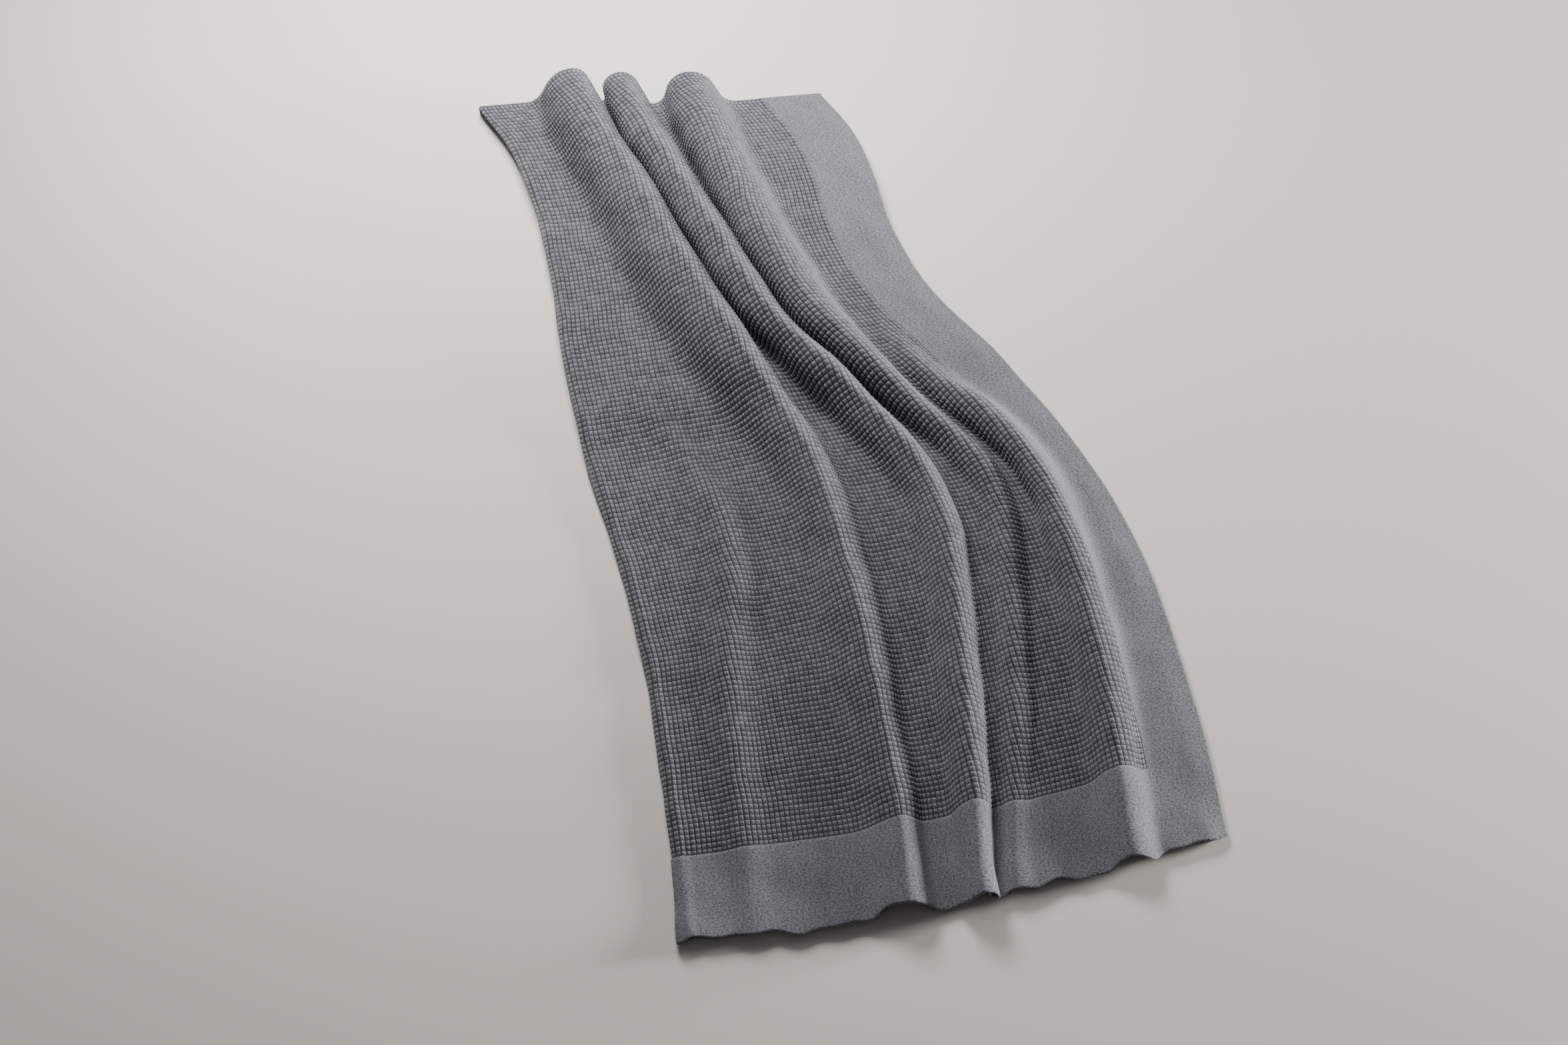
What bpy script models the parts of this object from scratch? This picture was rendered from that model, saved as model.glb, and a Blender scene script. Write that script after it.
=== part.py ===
"""A knitted wool throw, laid on a flat surface as it falls when it is put down.

The throw is one rectangle of cloth. It is folded in half lengthwise, so its left edge is a
fold, and its head end is turned under. The four layers then lie in shared long ridges, tight
at the head and fanned out at the foot. Lengths are in metres. X runs across the folded
throw, Y from its foot to its head, and Z is up from the surface that it lies on.
"""

import bmesh
import bpy
import numpy as np

# The cut cloth and how it is folded
CLOTH_WIDTH = 1.30
CLOTH_LENGTH = 1.70
THICKNESS = 0.003
LAYER_PITCH = 0.0042            # from the middle of one layer to the middle of the next
LAID_LENGTH = 1.205             # from the foot edge to the fold at the head
UNDERLAYER_SETBACK = 0.005      # how far the lower half stops short of the upper one's edges
STEP_DOWN = 0.075               # run over which the cloth steps off the turned-under end

# The long ridges, from the folded edge to the open edge. Each row is one place along the throw:
# its distance from the foot edge, where the ridge's crest lies across, how far from the crest
# its left foot and its right foot lie, and its height.
RIDGES = {
    "crease in the left panel": (
        (0.00, -0.220, 0.030, 0.030, 0.002),
        (0.12, -0.205, 0.034, 0.034, 0.005),
        (0.24, -0.190, 0.038, 0.038, 0.008),
        (0.33, -0.172, 0.040, 0.040, 0.010),
        (0.43, -0.142, 0.044, 0.040, 0.011),
        (0.53, -0.126, 0.044, 0.036, 0.010),
        (0.63, -0.150, 0.036, 0.030, 0.005),
        (0.74, -0.195, 0.020, 0.018, 0.000),
        (0.90, -0.205, 0.010, 0.012, 0.000),
        (1.21, -0.240, 0.010, 0.012, 0.000),
    ),
    "first ridge": (
        (0.00, -0.060, 0.058, 0.035, 0.020),
        (0.10, -0.042, 0.060, 0.036, 0.020),
        (0.22, -0.028, 0.062, 0.040, 0.021),
        (0.34, -0.017, 0.062, 0.044, 0.021),
        (0.46, -0.011, 0.062, 0.046, 0.023),
        (0.54, -0.010, 0.064, 0.044, 0.027),
        (0.62, -0.022, 0.068, 0.040, 0.034),
        (0.70, -0.048, 0.074, 0.034, 0.042),
        (0.78, -0.072, 0.076, 0.027, 0.050),
        (0.86, -0.093, 0.076, 0.027, 0.055),
        (0.96, -0.115, 0.072, 0.027, 0.057),
        (1.08, -0.142, 0.064, 0.027, 0.057),
        (1.21, -0.182, 0.060, 0.027, 0.057),
    ),
    "second ridge": (
        (0.00, 0.016, 0.034, 0.021, 0.024),
        (0.10, 0.040, 0.036, 0.024, 0.024),
        (0.22, 0.065, 0.040, 0.030, 0.025),
        (0.34, 0.091, 0.046, 0.033, 0.026),
        (0.46, 0.112, 0.050, 0.035, 0.027),
        (0.54, 0.108, 0.050, 0.034, 0.029),
        (0.62, 0.076, 0.048, 0.027, 0.032),
        (0.70, 0.035, 0.040, 0.024, 0.038),
        (0.78, -0.012, 0.028, 0.027, 0.046),
        (0.86, -0.037, 0.027, 0.026, 0.052),
        (0.96, -0.059, 0.027, 0.027, 0.055),
        (1.08, -0.086, 0.027, 0.032, 0.055),
        (1.21, -0.126, 0.027, 0.036, 0.055),
    ),
    "third ridge": (
        (0.00, 0.056, 0.017, 0.024, 0.005),
        (0.10, 0.082, 0.016, 0.026, 0.006),
        (0.22, 0.125, 0.026, 0.028, 0.008),
        (0.34, 0.158, 0.030, 0.030, 0.010),
        (0.46, 0.184, 0.034, 0.027, 0.014),
        (0.54, 0.178, 0.034, 0.023, 0.019),
        (0.62, 0.132, 0.027, 0.028, 0.026),
        (0.70, 0.086, 0.024, 0.032, 0.035),
        (0.78, 0.045, 0.027, 0.052, 0.043),
        (0.86, 0.017, 0.026, 0.058, 0.049),
        (0.96, -0.002, 0.028, 0.060, 0.054),
        (1.08, -0.014, 0.036, 0.060, 0.055),
        (1.21, -0.040, 0.045, 0.060, 0.055),
    ),
    "fourth ridge": (
        (0.00, 0.184, 0.045, 0.042, 0.021),
        (0.10, 0.201, 0.045, 0.043, 0.021),
        (0.22, 0.226, 0.042, 0.044, 0.023),
        (0.34, 0.237, 0.036, 0.045, 0.025),
        (0.46, 0.239, 0.027, 0.046, 0.027),
        (0.54, 0.226, 0.024, 0.046, 0.027),
        (0.62, 0.190, 0.028, 0.044, 0.023),
        (0.70, 0.142, 0.022, 0.032, 0.010),
        (0.78, 0.122, 0.014, 0.016, 0.000),
        (0.90, 0.090, 0.012, 0.014, 0.000),
        (1.21, 0.046, 0.012, 0.014, 0.000),
    ),
}

# How far a ridge's steepest part is drawn towards its crest: distance from the foot edge, power
SHARPNESS = ((0.00, 1.6), (0.48, 1.6), (0.66, 1.25), (0.84, 1.0), (1.21, 1.0))

# How the throw lies on the surface: at a distance from the foot edge, where its folded edge
# lies across, how much further along the folded edge is than the open edge there, and how far
# the middle lags behind both.
LIE = (
    (0.00, -0.299, 0.014, 0.020),
    (0.12, -0.281, 0.010, 0.017),
    (0.25, -0.268, 0.005, 0.010),
    (0.36, -0.258, 0.000, 0.004),
    (0.48, -0.256, 0.000, 0.000),
    (0.65, -0.263, 0.010, 0.000),
    (0.79, -0.259, 0.028, 0.000),
    (0.91, -0.247, 0.042, 0.000),
    (1.02, -0.242, 0.058, 0.000),
    (1.10, -0.247, 0.070, 0.000),
    (1.16, -0.260, 0.078, 0.000),
    (1.21, -0.286, 0.086, 0.000),
)
BLEND_REACH = 0.07              # the rows above are blended over this far each way
BLEND_SAMPLES = 13
LEAST_VALLEY = 0.004            # the flat strip of cloth left between two ridges

# The foot edge isn't straight: small scallops, as long across as each wave here
SCALLOPS = ((0.043, 0.0016), (0.071, 0.0018), (0.19, 0.0030))
SCALLOP_DEPTH = 0.07            # how far up the border they fade out

# How finely the solid is made
FLANK_STEPS = 4
CREASE_STEPS = 2
TURN_STEPS = 4
FOOT_ROWS = (0.0, 0.03, 0.08, 0.14, 0.20, 0.27, 0.34, 0.40, 0.45, 0.495, 0.54, 0.585, 0.63, 0.67, 0.70)
FLAP_ROW_PITCH = 0.062
SECTION_STEP = 0.0005
NORMAL_REACH = 0.002            # how far each way a normal is measured

WOOL_COLOUR = (0.185, 0.188, 0.208, 1.0)
WOOL_ROUGHNESS = 0.95


# A flank's slope grows from flat to its steepest and back to flat as half a sine wave
STEEPEST = np.linspace(0.0, 1.9, 191)
ALONG_FLANK = np.linspace(0.0, 1.0, 201)


def flank(run, height, sharpness):
    """The length of cloth in a flank that climbs to this height over this run, and its steepest
    angle."""
    slopes = STEEPEST[:, None] * np.sin(np.pi * ALONG_FLANK ** sharpness)[None, :]
    run_share = np.cos(slopes).mean(axis=1)
    rise_share = np.sin(slopes).mean(axis=1)
    steepest = np.interp(height / run, rise_share / run_share, STEEPEST)
    return run / np.interp(steepest, STEEPEST, run_share), steepest


def blended(rows, y):
    """Each column of a table at a distance y from the foot, blended smoothly between rows."""
    table = np.array(rows)
    reach = np.linspace(-BLEND_REACH, BLEND_REACH, BLEND_SAMPLES + 2)[1:-1]
    weights = np.hanning(BLEND_SAMPLES + 2)[1:-1]
    weights /= weights.sum()
    columns = [np.interp(y + reach, table[:, 0], column) @ weights for column in table[:, 1:].T]
    return np.array(columns)


def ridge_lines(y):
    """Each ridge's left foot, crest and right foot in the cloth, and its flanks' steepest angles."""
    lines = []
    reached, foot = 0.0, blended(LIE, y)[0]
    sharpness = blended(SHARPNESS, y)[0]
    for rows in RIDGES.values():
        crest, left, right, height = blended(rows, y)
        left_foot = reached + max(crest - left - foot, LEAST_VALLEY)
        left_length, left_steepest = flank(left, height, sharpness)
        right_length, right_steepest = flank(right, height, sharpness)
        reached, foot = left_foot + left_length + right_length, crest + right
        lines.append((left_foot, left_foot + left_length, reached, left_steepest, right_steepest))
    return lines


def section(y):
    """The cloth's slope, place across and height, from its folded edge to its open edge."""
    u = np.arange(0.0, CLOTH_WIDTH / 2 + SECTION_STEP, SECTION_STEP)
    middle = u + SECTION_STEP / 2
    slope = np.zeros_like(u)
    sharpness = blended(SHARPNESS, y)[0]
    for left_foot, crest, right_foot, left_steepest, right_steepest in ridge_lines(y):
        climbed = np.clip((middle - left_foot) / (crest - left_foot), 0.0, 1.0)
        slope += left_steepest * np.sin(np.pi * climbed ** sharpness)
        to_climb = np.clip((right_foot - middle) / (right_foot - crest), 0.0, 1.0)
        slope -= right_steepest * np.sin(np.pi * to_climb ** sharpness)
    across = np.concatenate(([0.0], np.cumsum(np.cos(slope) * SECTION_STEP)))[:-1]
    height = np.concatenate(([0.0], np.cumsum(np.sin(slope) * SECTION_STEP)))[:-1]
    return u, across, height


def draped(u, y):
    """Points of the surface that the layers follow, u into the cloth at y from the foot."""
    samples, across, height = section(y)
    edge, skew, lag = blended(LIE, y)
    x = edge + np.where(u < 0.0, u, np.interp(u, samples, across))
    z = np.where(u < 0.0, 0.0, np.interp(u, samples, height))
    share = 2.0 * np.maximum(u, 0.0) / CLOTH_WIDTH
    along = y + skew * (0.5 - share) - lag * np.sin(np.pi * share)
    return np.stack((x, along, z), axis=-1)


def step_height(y):
    """Height of the packet's middle plane: over the turned-under end, then down off it."""
    over_flap = 1.5 * LAYER_PITCH + THICKNESS / 2
    t = np.clip((FLAP_END - y) / STEP_DOWN, 0.0, 1.0)
    return over_flap - 2.0 * LAYER_PITCH * t * t * (3.0 - 2.0 * t)


def scallop(u, y):
    """How far the foot edge's waves move the cloth along Y, fading up the border."""
    fade = np.clip(1.0 - y / SCALLOP_DEPTH, 0.0, 1.0)
    wave = sum(size * np.sin(2.0 * np.pi * u / length + length) for length, size in SCALLOPS)
    return wave * fade * fade


def packet_point(u, y, beyond, w):
    """Points of the folded packet: u across, y and beyond along, w above its middle plane."""
    here = draped(u, y)
    along = draped(u, y + NORMAL_REACH) - draped(u, y - NORMAL_REACH)
    across = draped(u + NORMAL_REACH, y) - draped(u - NORMAL_REACH, y)
    normal = np.cross(across, along)
    normal /= np.linalg.norm(normal, axis=-1, keepdims=True)
    point = here + w[:, None] * normal
    point[:, 1] += beyond + scallop(u, y)
    point[:, 2] += step_height(y)
    return point


# The head's fold bends the two upper layers half a turn round the packet's middle plane
HEAD_TURN = np.pi * LAYER_PITCH
FLAP_END = LAID_LENGTH - (CLOTH_LENGTH - LAID_LENGTH - HEAD_TURN)
SIDE_TURN = np.pi * LAYER_PITCH / 2
HALF_WIDTH = (CLOTH_WIDTH - SIDE_TURN) / 2


def column_stations(y):
    """Places in the cloth from the folded edge to the open edge, on each ridge's own lines."""
    stations = [0.0]
    for name, (left_foot, crest, right_foot, *angles) in zip(RIDGES, ridge_lines(y)):
        steps = CREASE_STEPS if name.startswith("crease") else FLANK_STEPS
        stations += list(np.linspace(left_foot, crest, steps + 1))
        stations += list(np.linspace(crest, right_foot, steps + 1))[1:]
    stations.append((stations[-1] + HALF_WIDTH) / 2)
    stations.append(HALF_WIDTH)
    return np.array(stations)


def across_the_fold(y):
    """The cloth's width as folded: place across, turn about the fold, share in the lower half."""
    half = column_stations(y)
    turn = np.linspace(np.pi, 0.0, TURN_STEPS + 1)[1:-1]
    u = np.concatenate((half[::-1], np.zeros_like(turn), half))
    angle = np.concatenate((np.full_like(half, np.pi), turn, np.zeros_like(half)))
    return u, angle, (1.0 - np.cos(angle)) / 2.0


def along_the_cloth():
    """Rows along the cloth's length: distance from the foot and turn about the head's fold."""
    flap_steps = round((LAID_LENGTH - FLAP_END) / FLAP_ROW_PITCH)
    shared = list(np.linspace(FLAP_END, LAID_LENGTH, flap_steps + 1))
    turn = np.linspace(0.0, np.pi, TURN_STEPS + 1)[1:-1]
    rows = [(y, 0.0) for y in list(FOOT_ROWS) + shared]
    rows += [(LAID_LENGTH, angle) for angle in turn]
    rows += [(y, np.pi) for y in reversed(shared)]
    return rows


def row_of_points(y, head_turn, side, is_end):
    """One row of the folded cloth's points, on its outer face (side 1) or inner face (-1)."""
    u, turn, lower_share = across_the_fold(y)
    radius = LAYER_PITCH / 2 + side * THICKNESS / 2
    u = np.minimum(u, HALF_WIDTH - UNDERLAYER_SETBACK * lower_share) - radius * np.sin(turn)
    from_middle = LAYER_PITCH + radius * np.cos(turn)
    beyond = from_middle * np.sin(head_turn)
    above = from_middle * np.cos(head_turn)
    points = packet_point(u, y, beyond, above)
    if is_end:
        set_back = packet_point(u, y + UNDERLAYER_SETBACK, beyond, above)
        points += (set_back - points) * lower_share[:, None]
    return points


def flat_slab(columns, rows, head_row):
    """A flat slab with a vertex on each side for every column and row, still to be folded.

    Its faces are split into triangles so that the layers, once folded, are split alike.
    """
    bm = bmesh.new()
    bmesh.ops.create_grid(bm, x_segments=columns - 1, y_segments=rows - 1, size=0.5)
    head = head_row / (rows - 1) - 0.5
    for face in bm.faces[:]:
        corners = sorted(face.verts, key=lambda v: (round(v.co.x, 4), v.co.y))
        near_left, far_left, near_right, far_right = corners
        middle = face.calc_center_median()
        if (middle.x > 0.0) == (middle.y < head):
            bmesh.utils.face_split(face, near_left, far_right)
        else:
            bmesh.utils.face_split(face, far_left, near_right)
    bmesh.ops.solidify(bm, geom=bm.faces[:], thickness=-0.1)
    bmesh.ops.recalc_face_normals(bm, faces=bm.faces[:])
    return bm


def fold_and_lay(bm, columns, rows):
    """Move each vertex of the flat slab to its place in the folded throw."""
    middle = sum(v.co.z for v in bm.verts) / len(bm.verts)
    faces = {}
    for row, (y, head_turn) in enumerate(rows):
        is_end = row in (0, len(rows) - 1)
        for side in (1, -1):
            faces[row, side] = row_of_points(y, head_turn, side, is_end)
    for vertex in bm.verts:
        column = round((vertex.co.x + 0.5) * (columns - 1))
        row = round((vertex.co.y + 0.5) * (len(rows) - 1))
        vertex.co = faces[row, 1 if vertex.co.z > middle else -1][column]


def wool():
    """Grey wool, matt."""
    material = bpy.data.materials.new("grey wool")
    material.use_nodes = True
    shader = material.node_tree.nodes["Principled BSDF"]
    shader.inputs["Base Color"].default_value = WOOL_COLOUR
    shader.inputs["Roughness"].default_value = WOOL_ROUGHNESS
    shader.inputs["Metallic"].default_value = 0.0
    material.diffuse_color = WOOL_COLOUR
    return material


def make_throw(collection):
    """The whole throw, in one piece, standing on z = 0 about the middle of its box."""
    rows = along_the_cloth()
    columns = len(across_the_fold(0.0)[0])
    head_row = sum(head_turn < np.pi / 2 for y, head_turn in rows)
    bm = flat_slab(columns, len(rows), head_row)
    fold_and_lay(bm, columns, rows)
    corners = np.array([v.co for v in bm.verts])
    centre = (corners.min(axis=0) + corners.max(axis=0)) / 2
    bmesh.ops.translate(bm, verts=bm.verts[:], vec=(-centre[0], -centre[1], 0.0))
    mesh = bpy.data.meshes.new("throw")
    bm.to_mesh(mesh)
    bm.free()
    mesh.shade_smooth()
    mesh.materials.append(wool())
    collection.objects.link(bpy.data.objects.new("throw", mesh))


for leftover in list(bpy.data.objects):
    bpy.data.objects.remove(leftover, do_unlink=True)
throw_collection = bpy.data.collections.new("wool throw")
bpy.context.scene.collection.children.link(throw_collection)
make_throw(throw_collection)
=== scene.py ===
"""A grey wool throw, folded in half lengthwise, its head end turned under, laid on a pale floor.

Lengths are in metres. The cloth's own directions are s, across its width from the upper half's
open edge, and t, along its length from the foot edge.
"""

import math

import bpy
import numpy as np
from mathutils import Matrix, Vector


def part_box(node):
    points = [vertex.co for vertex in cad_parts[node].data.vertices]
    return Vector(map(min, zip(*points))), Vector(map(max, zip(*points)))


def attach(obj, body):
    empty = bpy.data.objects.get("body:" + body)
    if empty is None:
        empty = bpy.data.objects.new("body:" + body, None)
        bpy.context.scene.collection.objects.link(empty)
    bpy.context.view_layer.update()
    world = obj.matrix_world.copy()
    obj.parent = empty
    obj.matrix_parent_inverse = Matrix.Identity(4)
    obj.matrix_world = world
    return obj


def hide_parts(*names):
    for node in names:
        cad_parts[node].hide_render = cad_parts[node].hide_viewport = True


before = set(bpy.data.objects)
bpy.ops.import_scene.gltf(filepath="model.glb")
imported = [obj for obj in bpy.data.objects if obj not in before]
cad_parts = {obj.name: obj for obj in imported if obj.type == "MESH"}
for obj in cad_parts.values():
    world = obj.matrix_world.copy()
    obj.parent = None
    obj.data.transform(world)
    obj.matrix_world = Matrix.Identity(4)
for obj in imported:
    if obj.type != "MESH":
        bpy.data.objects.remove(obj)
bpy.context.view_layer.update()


# The camera stands at the foot's left and looks down on the throw, which lies along its view
# a little to the left, as in the photograph.
VIEW_TURN = math.radians(14.0)
VIEW_DOWN = math.radians(53.0)
VIEW_DISTANCE = 3.51
VIEW_CENTRE = Vector((-0.0716, -0.093, 0.0))
LENS = 70.0
SENSOR_WIDTH = 36.0

view_direction = Vector((
    math.sin(VIEW_TURN) * math.cos(VIEW_DOWN),
    math.cos(VIEW_TURN) * math.cos(VIEW_DOWN),
    -math.sin(VIEW_DOWN),
))
camera = bpy.data.objects.new("camera", bpy.data.cameras.new("camera"))
camera.data.lens = LENS
camera.data.sensor_width = SENSOR_WIDTH
camera.location = VIEW_CENTRE - view_direction * VIEW_DISTANCE
camera.rotation_euler = view_direction.to_track_quat("-Z", "Y").to_euler()
bpy.context.scene.collection.objects.link(camera)
bpy.context.scene.camera = camera


# The throw is one rectangle of wool knit, about 3 mm thick, with a plain border knitted on in one
# piece. It is folded in half lengthwise and its head end is turned under, and all the layers lie
# nested in the same long ridges, a little apart.
CLOTH_WIDTH = 1.30
CLOTH_LENGTH = 1.70
THICKNESS = 0.003
LAYER_PITCH = 0.0042
LAID_LENGTH = 1.205
UNDERLAYER_SETBACK = 0.005
SETBACK_REACH = 0.05
STEP_DOWN = 0.075
SIDE_FOLD = math.pi * LAYER_PITCH / 2
HALF_WIDTH = (CLOTH_WIDTH - SIDE_FOLD) / 2
FLAP_END = 2 * LAID_LENGTH + math.pi * LAYER_PITCH - CLOTH_LENGTH

# Each ridge, from the folded edge to the open one: distance from the foot, then where its crest
# lies across, how far its left and right foot lie from that, and its height
RIDGES = {
    "crease in the left panel": (
        (0.00, -0.220, 0.030, 0.030, 0.002),
        (0.12, -0.205, 0.034, 0.034, 0.005),
        (0.24, -0.190, 0.038, 0.038, 0.008),
        (0.33, -0.172, 0.040, 0.040, 0.010),
        (0.43, -0.142, 0.044, 0.040, 0.011),
        (0.53, -0.126, 0.044, 0.036, 0.010),
        (0.63, -0.150, 0.036, 0.030, 0.005),
        (0.74, -0.195, 0.020, 0.018, 0.000),
        (0.90, -0.205, 0.010, 0.012, 0.000),
        (1.21, -0.240, 0.010, 0.012, 0.000),
    ),
    "first ridge": (
        (0.00, -0.060, 0.058, 0.035, 0.020),
        (0.10, -0.042, 0.060, 0.036, 0.020),
        (0.22, -0.028, 0.062, 0.040, 0.021),
        (0.34, -0.017, 0.062, 0.044, 0.021),
        (0.46, -0.011, 0.062, 0.046, 0.023),
        (0.54, -0.010, 0.064, 0.044, 0.027),
        (0.62, -0.022, 0.068, 0.040, 0.034),
        (0.70, -0.048, 0.074, 0.034, 0.042),
        (0.78, -0.072, 0.076, 0.027, 0.050),
        (0.86, -0.093, 0.076, 0.027, 0.055),
        (0.96, -0.115, 0.072, 0.027, 0.057),
        (1.08, -0.142, 0.064, 0.027, 0.057),
        (1.21, -0.182, 0.060, 0.027, 0.057),
    ),
    "second ridge": (
        (0.00, 0.016, 0.034, 0.021, 0.024),
        (0.10, 0.040, 0.036, 0.024, 0.024),
        (0.22, 0.065, 0.040, 0.030, 0.025),
        (0.34, 0.091, 0.046, 0.033, 0.026),
        (0.46, 0.112, 0.050, 0.035, 0.027),
        (0.54, 0.108, 0.050, 0.034, 0.029),
        (0.62, 0.076, 0.048, 0.027, 0.032),
        (0.70, 0.035, 0.040, 0.024, 0.038),
        (0.78, -0.012, 0.028, 0.027, 0.046),
        (0.86, -0.037, 0.027, 0.026, 0.052),
        (0.96, -0.059, 0.027, 0.027, 0.055),
        (1.08, -0.086, 0.027, 0.032, 0.055),
        (1.21, -0.126, 0.027, 0.036, 0.055),
    ),
    "third ridge": (
        (0.00, 0.056, 0.017, 0.024, 0.005),
        (0.10, 0.082, 0.016, 0.026, 0.006),
        (0.22, 0.125, 0.026, 0.028, 0.008),
        (0.34, 0.158, 0.030, 0.030, 0.010),
        (0.46, 0.184, 0.034, 0.027, 0.014),
        (0.54, 0.178, 0.034, 0.023, 0.019),
        (0.62, 0.132, 0.027, 0.028, 0.026),
        (0.70, 0.086, 0.024, 0.032, 0.035),
        (0.78, 0.045, 0.027, 0.052, 0.043),
        (0.86, 0.017, 0.026, 0.058, 0.049),
        (0.96, -0.002, 0.028, 0.060, 0.054),
        (1.08, -0.014, 0.036, 0.060, 0.055),
        (1.21, -0.040, 0.045, 0.060, 0.055),
    ),
    "fourth ridge": (
        (0.00, 0.184, 0.045, 0.042, 0.021),
        (0.10, 0.201, 0.045, 0.043, 0.021),
        (0.22, 0.226, 0.042, 0.044, 0.023),
        (0.34, 0.237, 0.036, 0.045, 0.025),
        (0.46, 0.239, 0.027, 0.046, 0.027),
        (0.54, 0.226, 0.024, 0.046, 0.027),
        (0.62, 0.190, 0.028, 0.044, 0.023),
        (0.70, 0.142, 0.022, 0.032, 0.010),
        (0.78, 0.122, 0.014, 0.016, 0.000),
        (0.90, 0.090, 0.012, 0.014, 0.000),
        (1.21, 0.046, 0.012, 0.014, 0.000),
    ),
}
LEAST_VALLEY = 0.004
# How far each ridge's steepest part lies towards its crest: distance from the foot, sharpness
SHARPNESS = ((0.00, 1.6), (0.48, 1.6), (0.66, 1.25), (0.84, 1.0), (1.21, 1.0))

# Distance from the foot, where the folded edge lies across, how far it runs ahead of the open
# edge, and how far the middle lags behind both
LIE = (
    (0.00, -0.299, 0.014, 0.020),
    (0.12, -0.281, 0.010, 0.017),
    (0.25, -0.268, 0.005, 0.010),
    (0.36, -0.258, 0.000, 0.004),
    (0.48, -0.256, 0.000, 0.000),
    (0.65, -0.263, 0.010, 0.000),
    (0.79, -0.259, 0.028, 0.000),
    (0.91, -0.247, 0.042, 0.000),
    (1.02, -0.242, 0.058, 0.000),
    (1.10, -0.247, 0.070, 0.000),
    (1.16, -0.260, 0.078, 0.000),
    (1.21, -0.286, 0.086, 0.000),
)
BLEND_REACH = 0.07
BLEND_SAMPLES = 13
# The foot edge's scallops: waves along the edge, and how far each moves it in and out
SCALLOPS = ((0.043, 0.0016), (0.071, 0.0018), (0.19, 0.0030))
SCALLOP_DEPTH = 0.07

# The laid surface is worked out once on a grid of this pitch, and read between its points
U_STEP = 0.001
Y_STEP = 0.005
# A ridge's flank is tried at slopes up to this one, each measured at so many places along it
STEEPEST_TRIED = 1.9
SLOPES_TRIED = 191
FLANK_SAMPLES = 201
# A place on an offset layer is found in steps, each going this share of the way that is left
SETTLING_STEPS = 24
SETTLING_SHARE = 0.6

# Small creases that only the upper half shows: how high each crest is pinched, how wide, and
# how high its ridge has to be before it is pinched in full
PINCHES = {
    "first ridge": 0.0024,
    "second ridge": 0.0036,
    "third ridge": 0.0014,
    "fourth ridge": 0.0012,
}
PINCH_REACH = 0.0038
PINCH_FULL_HEIGHT = 0.018
# The folded edge stays a little rolled: how far in, how wide and how high
EDGE_ROLL = (0.008, 0.0040, 0.0022)
# Slack in the upper half: waves along and across the cloth, and how high each lifts it
SLACK = ((0.31, 0.155, 0.0011), (0.19, 0.26, 0.0008), (0.11, 0.093, 0.0005))
# The foot edge's curl off the layer below: waves along the edge, and how high each lifts it
EDGE_LIFT = ((0.052, 0.0005), (0.083, 0.0006), (0.21, 0.0009))
EDGE_LIFT_REACH = 0.055
# How far from the head's turn, and from the open edge, the upper half's slack has died out
HEAD_REACH = 0.06
OPEN_EDGE_REACH = 0.03
OPEN_EDGE_START = HALF_WIDTH + 0.004


def blended(rows, y):
    """Each column of a table at a distance y from the foot, blended smoothly between rows."""
    table = np.array(rows)
    reach = np.linspace(-BLEND_REACH, BLEND_REACH, BLEND_SAMPLES + 2)[1:-1]
    weights = np.hanning(BLEND_SAMPLES + 2)[1:-1]
    weights /= weights.sum()
    columns = [np.interp(y + reach, table[:, 0], column) @ weights for column in table[:, 1:].T]
    return np.array(columns)


def laid_surface(u, rows):
    """The surface that the layers follow, its slope across, and where each ridge's crest lies.

    There is one row of points for each distance from the foot. A flank's slope rises to its
    steepest and falls back in half a wave. Its steepest angle follows from its height and run,
    and its length of cloth from that.
    """
    step = u[1] - u[0]
    middle = u + step / 2
    points = np.zeros((len(rows), len(u), 3))
    slopes = np.zeros((len(rows), len(u), 1))
    crests = np.zeros((len(rows), len(RIDGES)))
    steepest = np.linspace(0.0, STEEPEST_TRIED, SLOPES_TRIED)
    for row, y in enumerate(rows):
        sharpness = blended(SHARPNESS, y)[0]
        half_wave = np.sin(np.pi * np.linspace(0.0, 1.0, FLANK_SAMPLES) ** sharpness)
        run_share = np.cos(steepest[:, None] * half_wave).mean(axis=1)
        rise_share = np.sin(steepest[:, None] * half_wave).mean(axis=1)
        slope = np.zeros_like(u)
        edge, skew, lag = blended(LIE, y)
        reached, foot = 0.0, edge
        for ridge, table in enumerate(RIDGES.values()):
            crest, left, right, height = blended(table, y)
            start = reached + max(crest - left - foot, LEAST_VALLEY)
            for run, sign in ((left, 1.0), (right, -1.0)):
                angle = np.interp(height / run, rise_share / run_share, steepest)
                end = start + run / np.interp(angle, steepest, run_share)
                part = np.clip((middle - start) / (end - start), 0.0, 1.0)
                part = part if sign > 0 else 1.0 - part
                slope += sign * angle * np.sin(np.pi * part ** sharpness)
                if sign > 0:
                    crests[row, ridge] = end
                start = end
            reached, foot = start, crest + right
        slopes[row, :, 0] = slope
        points[row, 1:, 0] = np.cumsum(np.cos(slope) * step)[:-1]
        points[row, 1:, 2] = np.cumsum(np.sin(slope) * step)[:-1]
        points[row, :, 0] += edge
        across = 2.0 * u / CLOTH_WIDTH
        points[row, :, 1] = y + skew * (0.5 - across) - lag * np.sin(np.pi * across)
    return points, slopes, crests


u_grid = np.arange(0.0, CLOTH_WIDTH / 2 + 2 * U_STEP, U_STEP)
y_grid = np.arange(-2 * Y_STEP, LAID_LENGTH + 3 * Y_STEP, Y_STEP)
surface, surface_slope, crests = laid_surface(u_grid, y_grid)
surface_normal = np.cross(np.gradient(surface, axis=1), np.gradient(surface, axis=0))
surface_normal /= np.linalg.norm(surface_normal, axis=2, keepdims=True)


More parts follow.
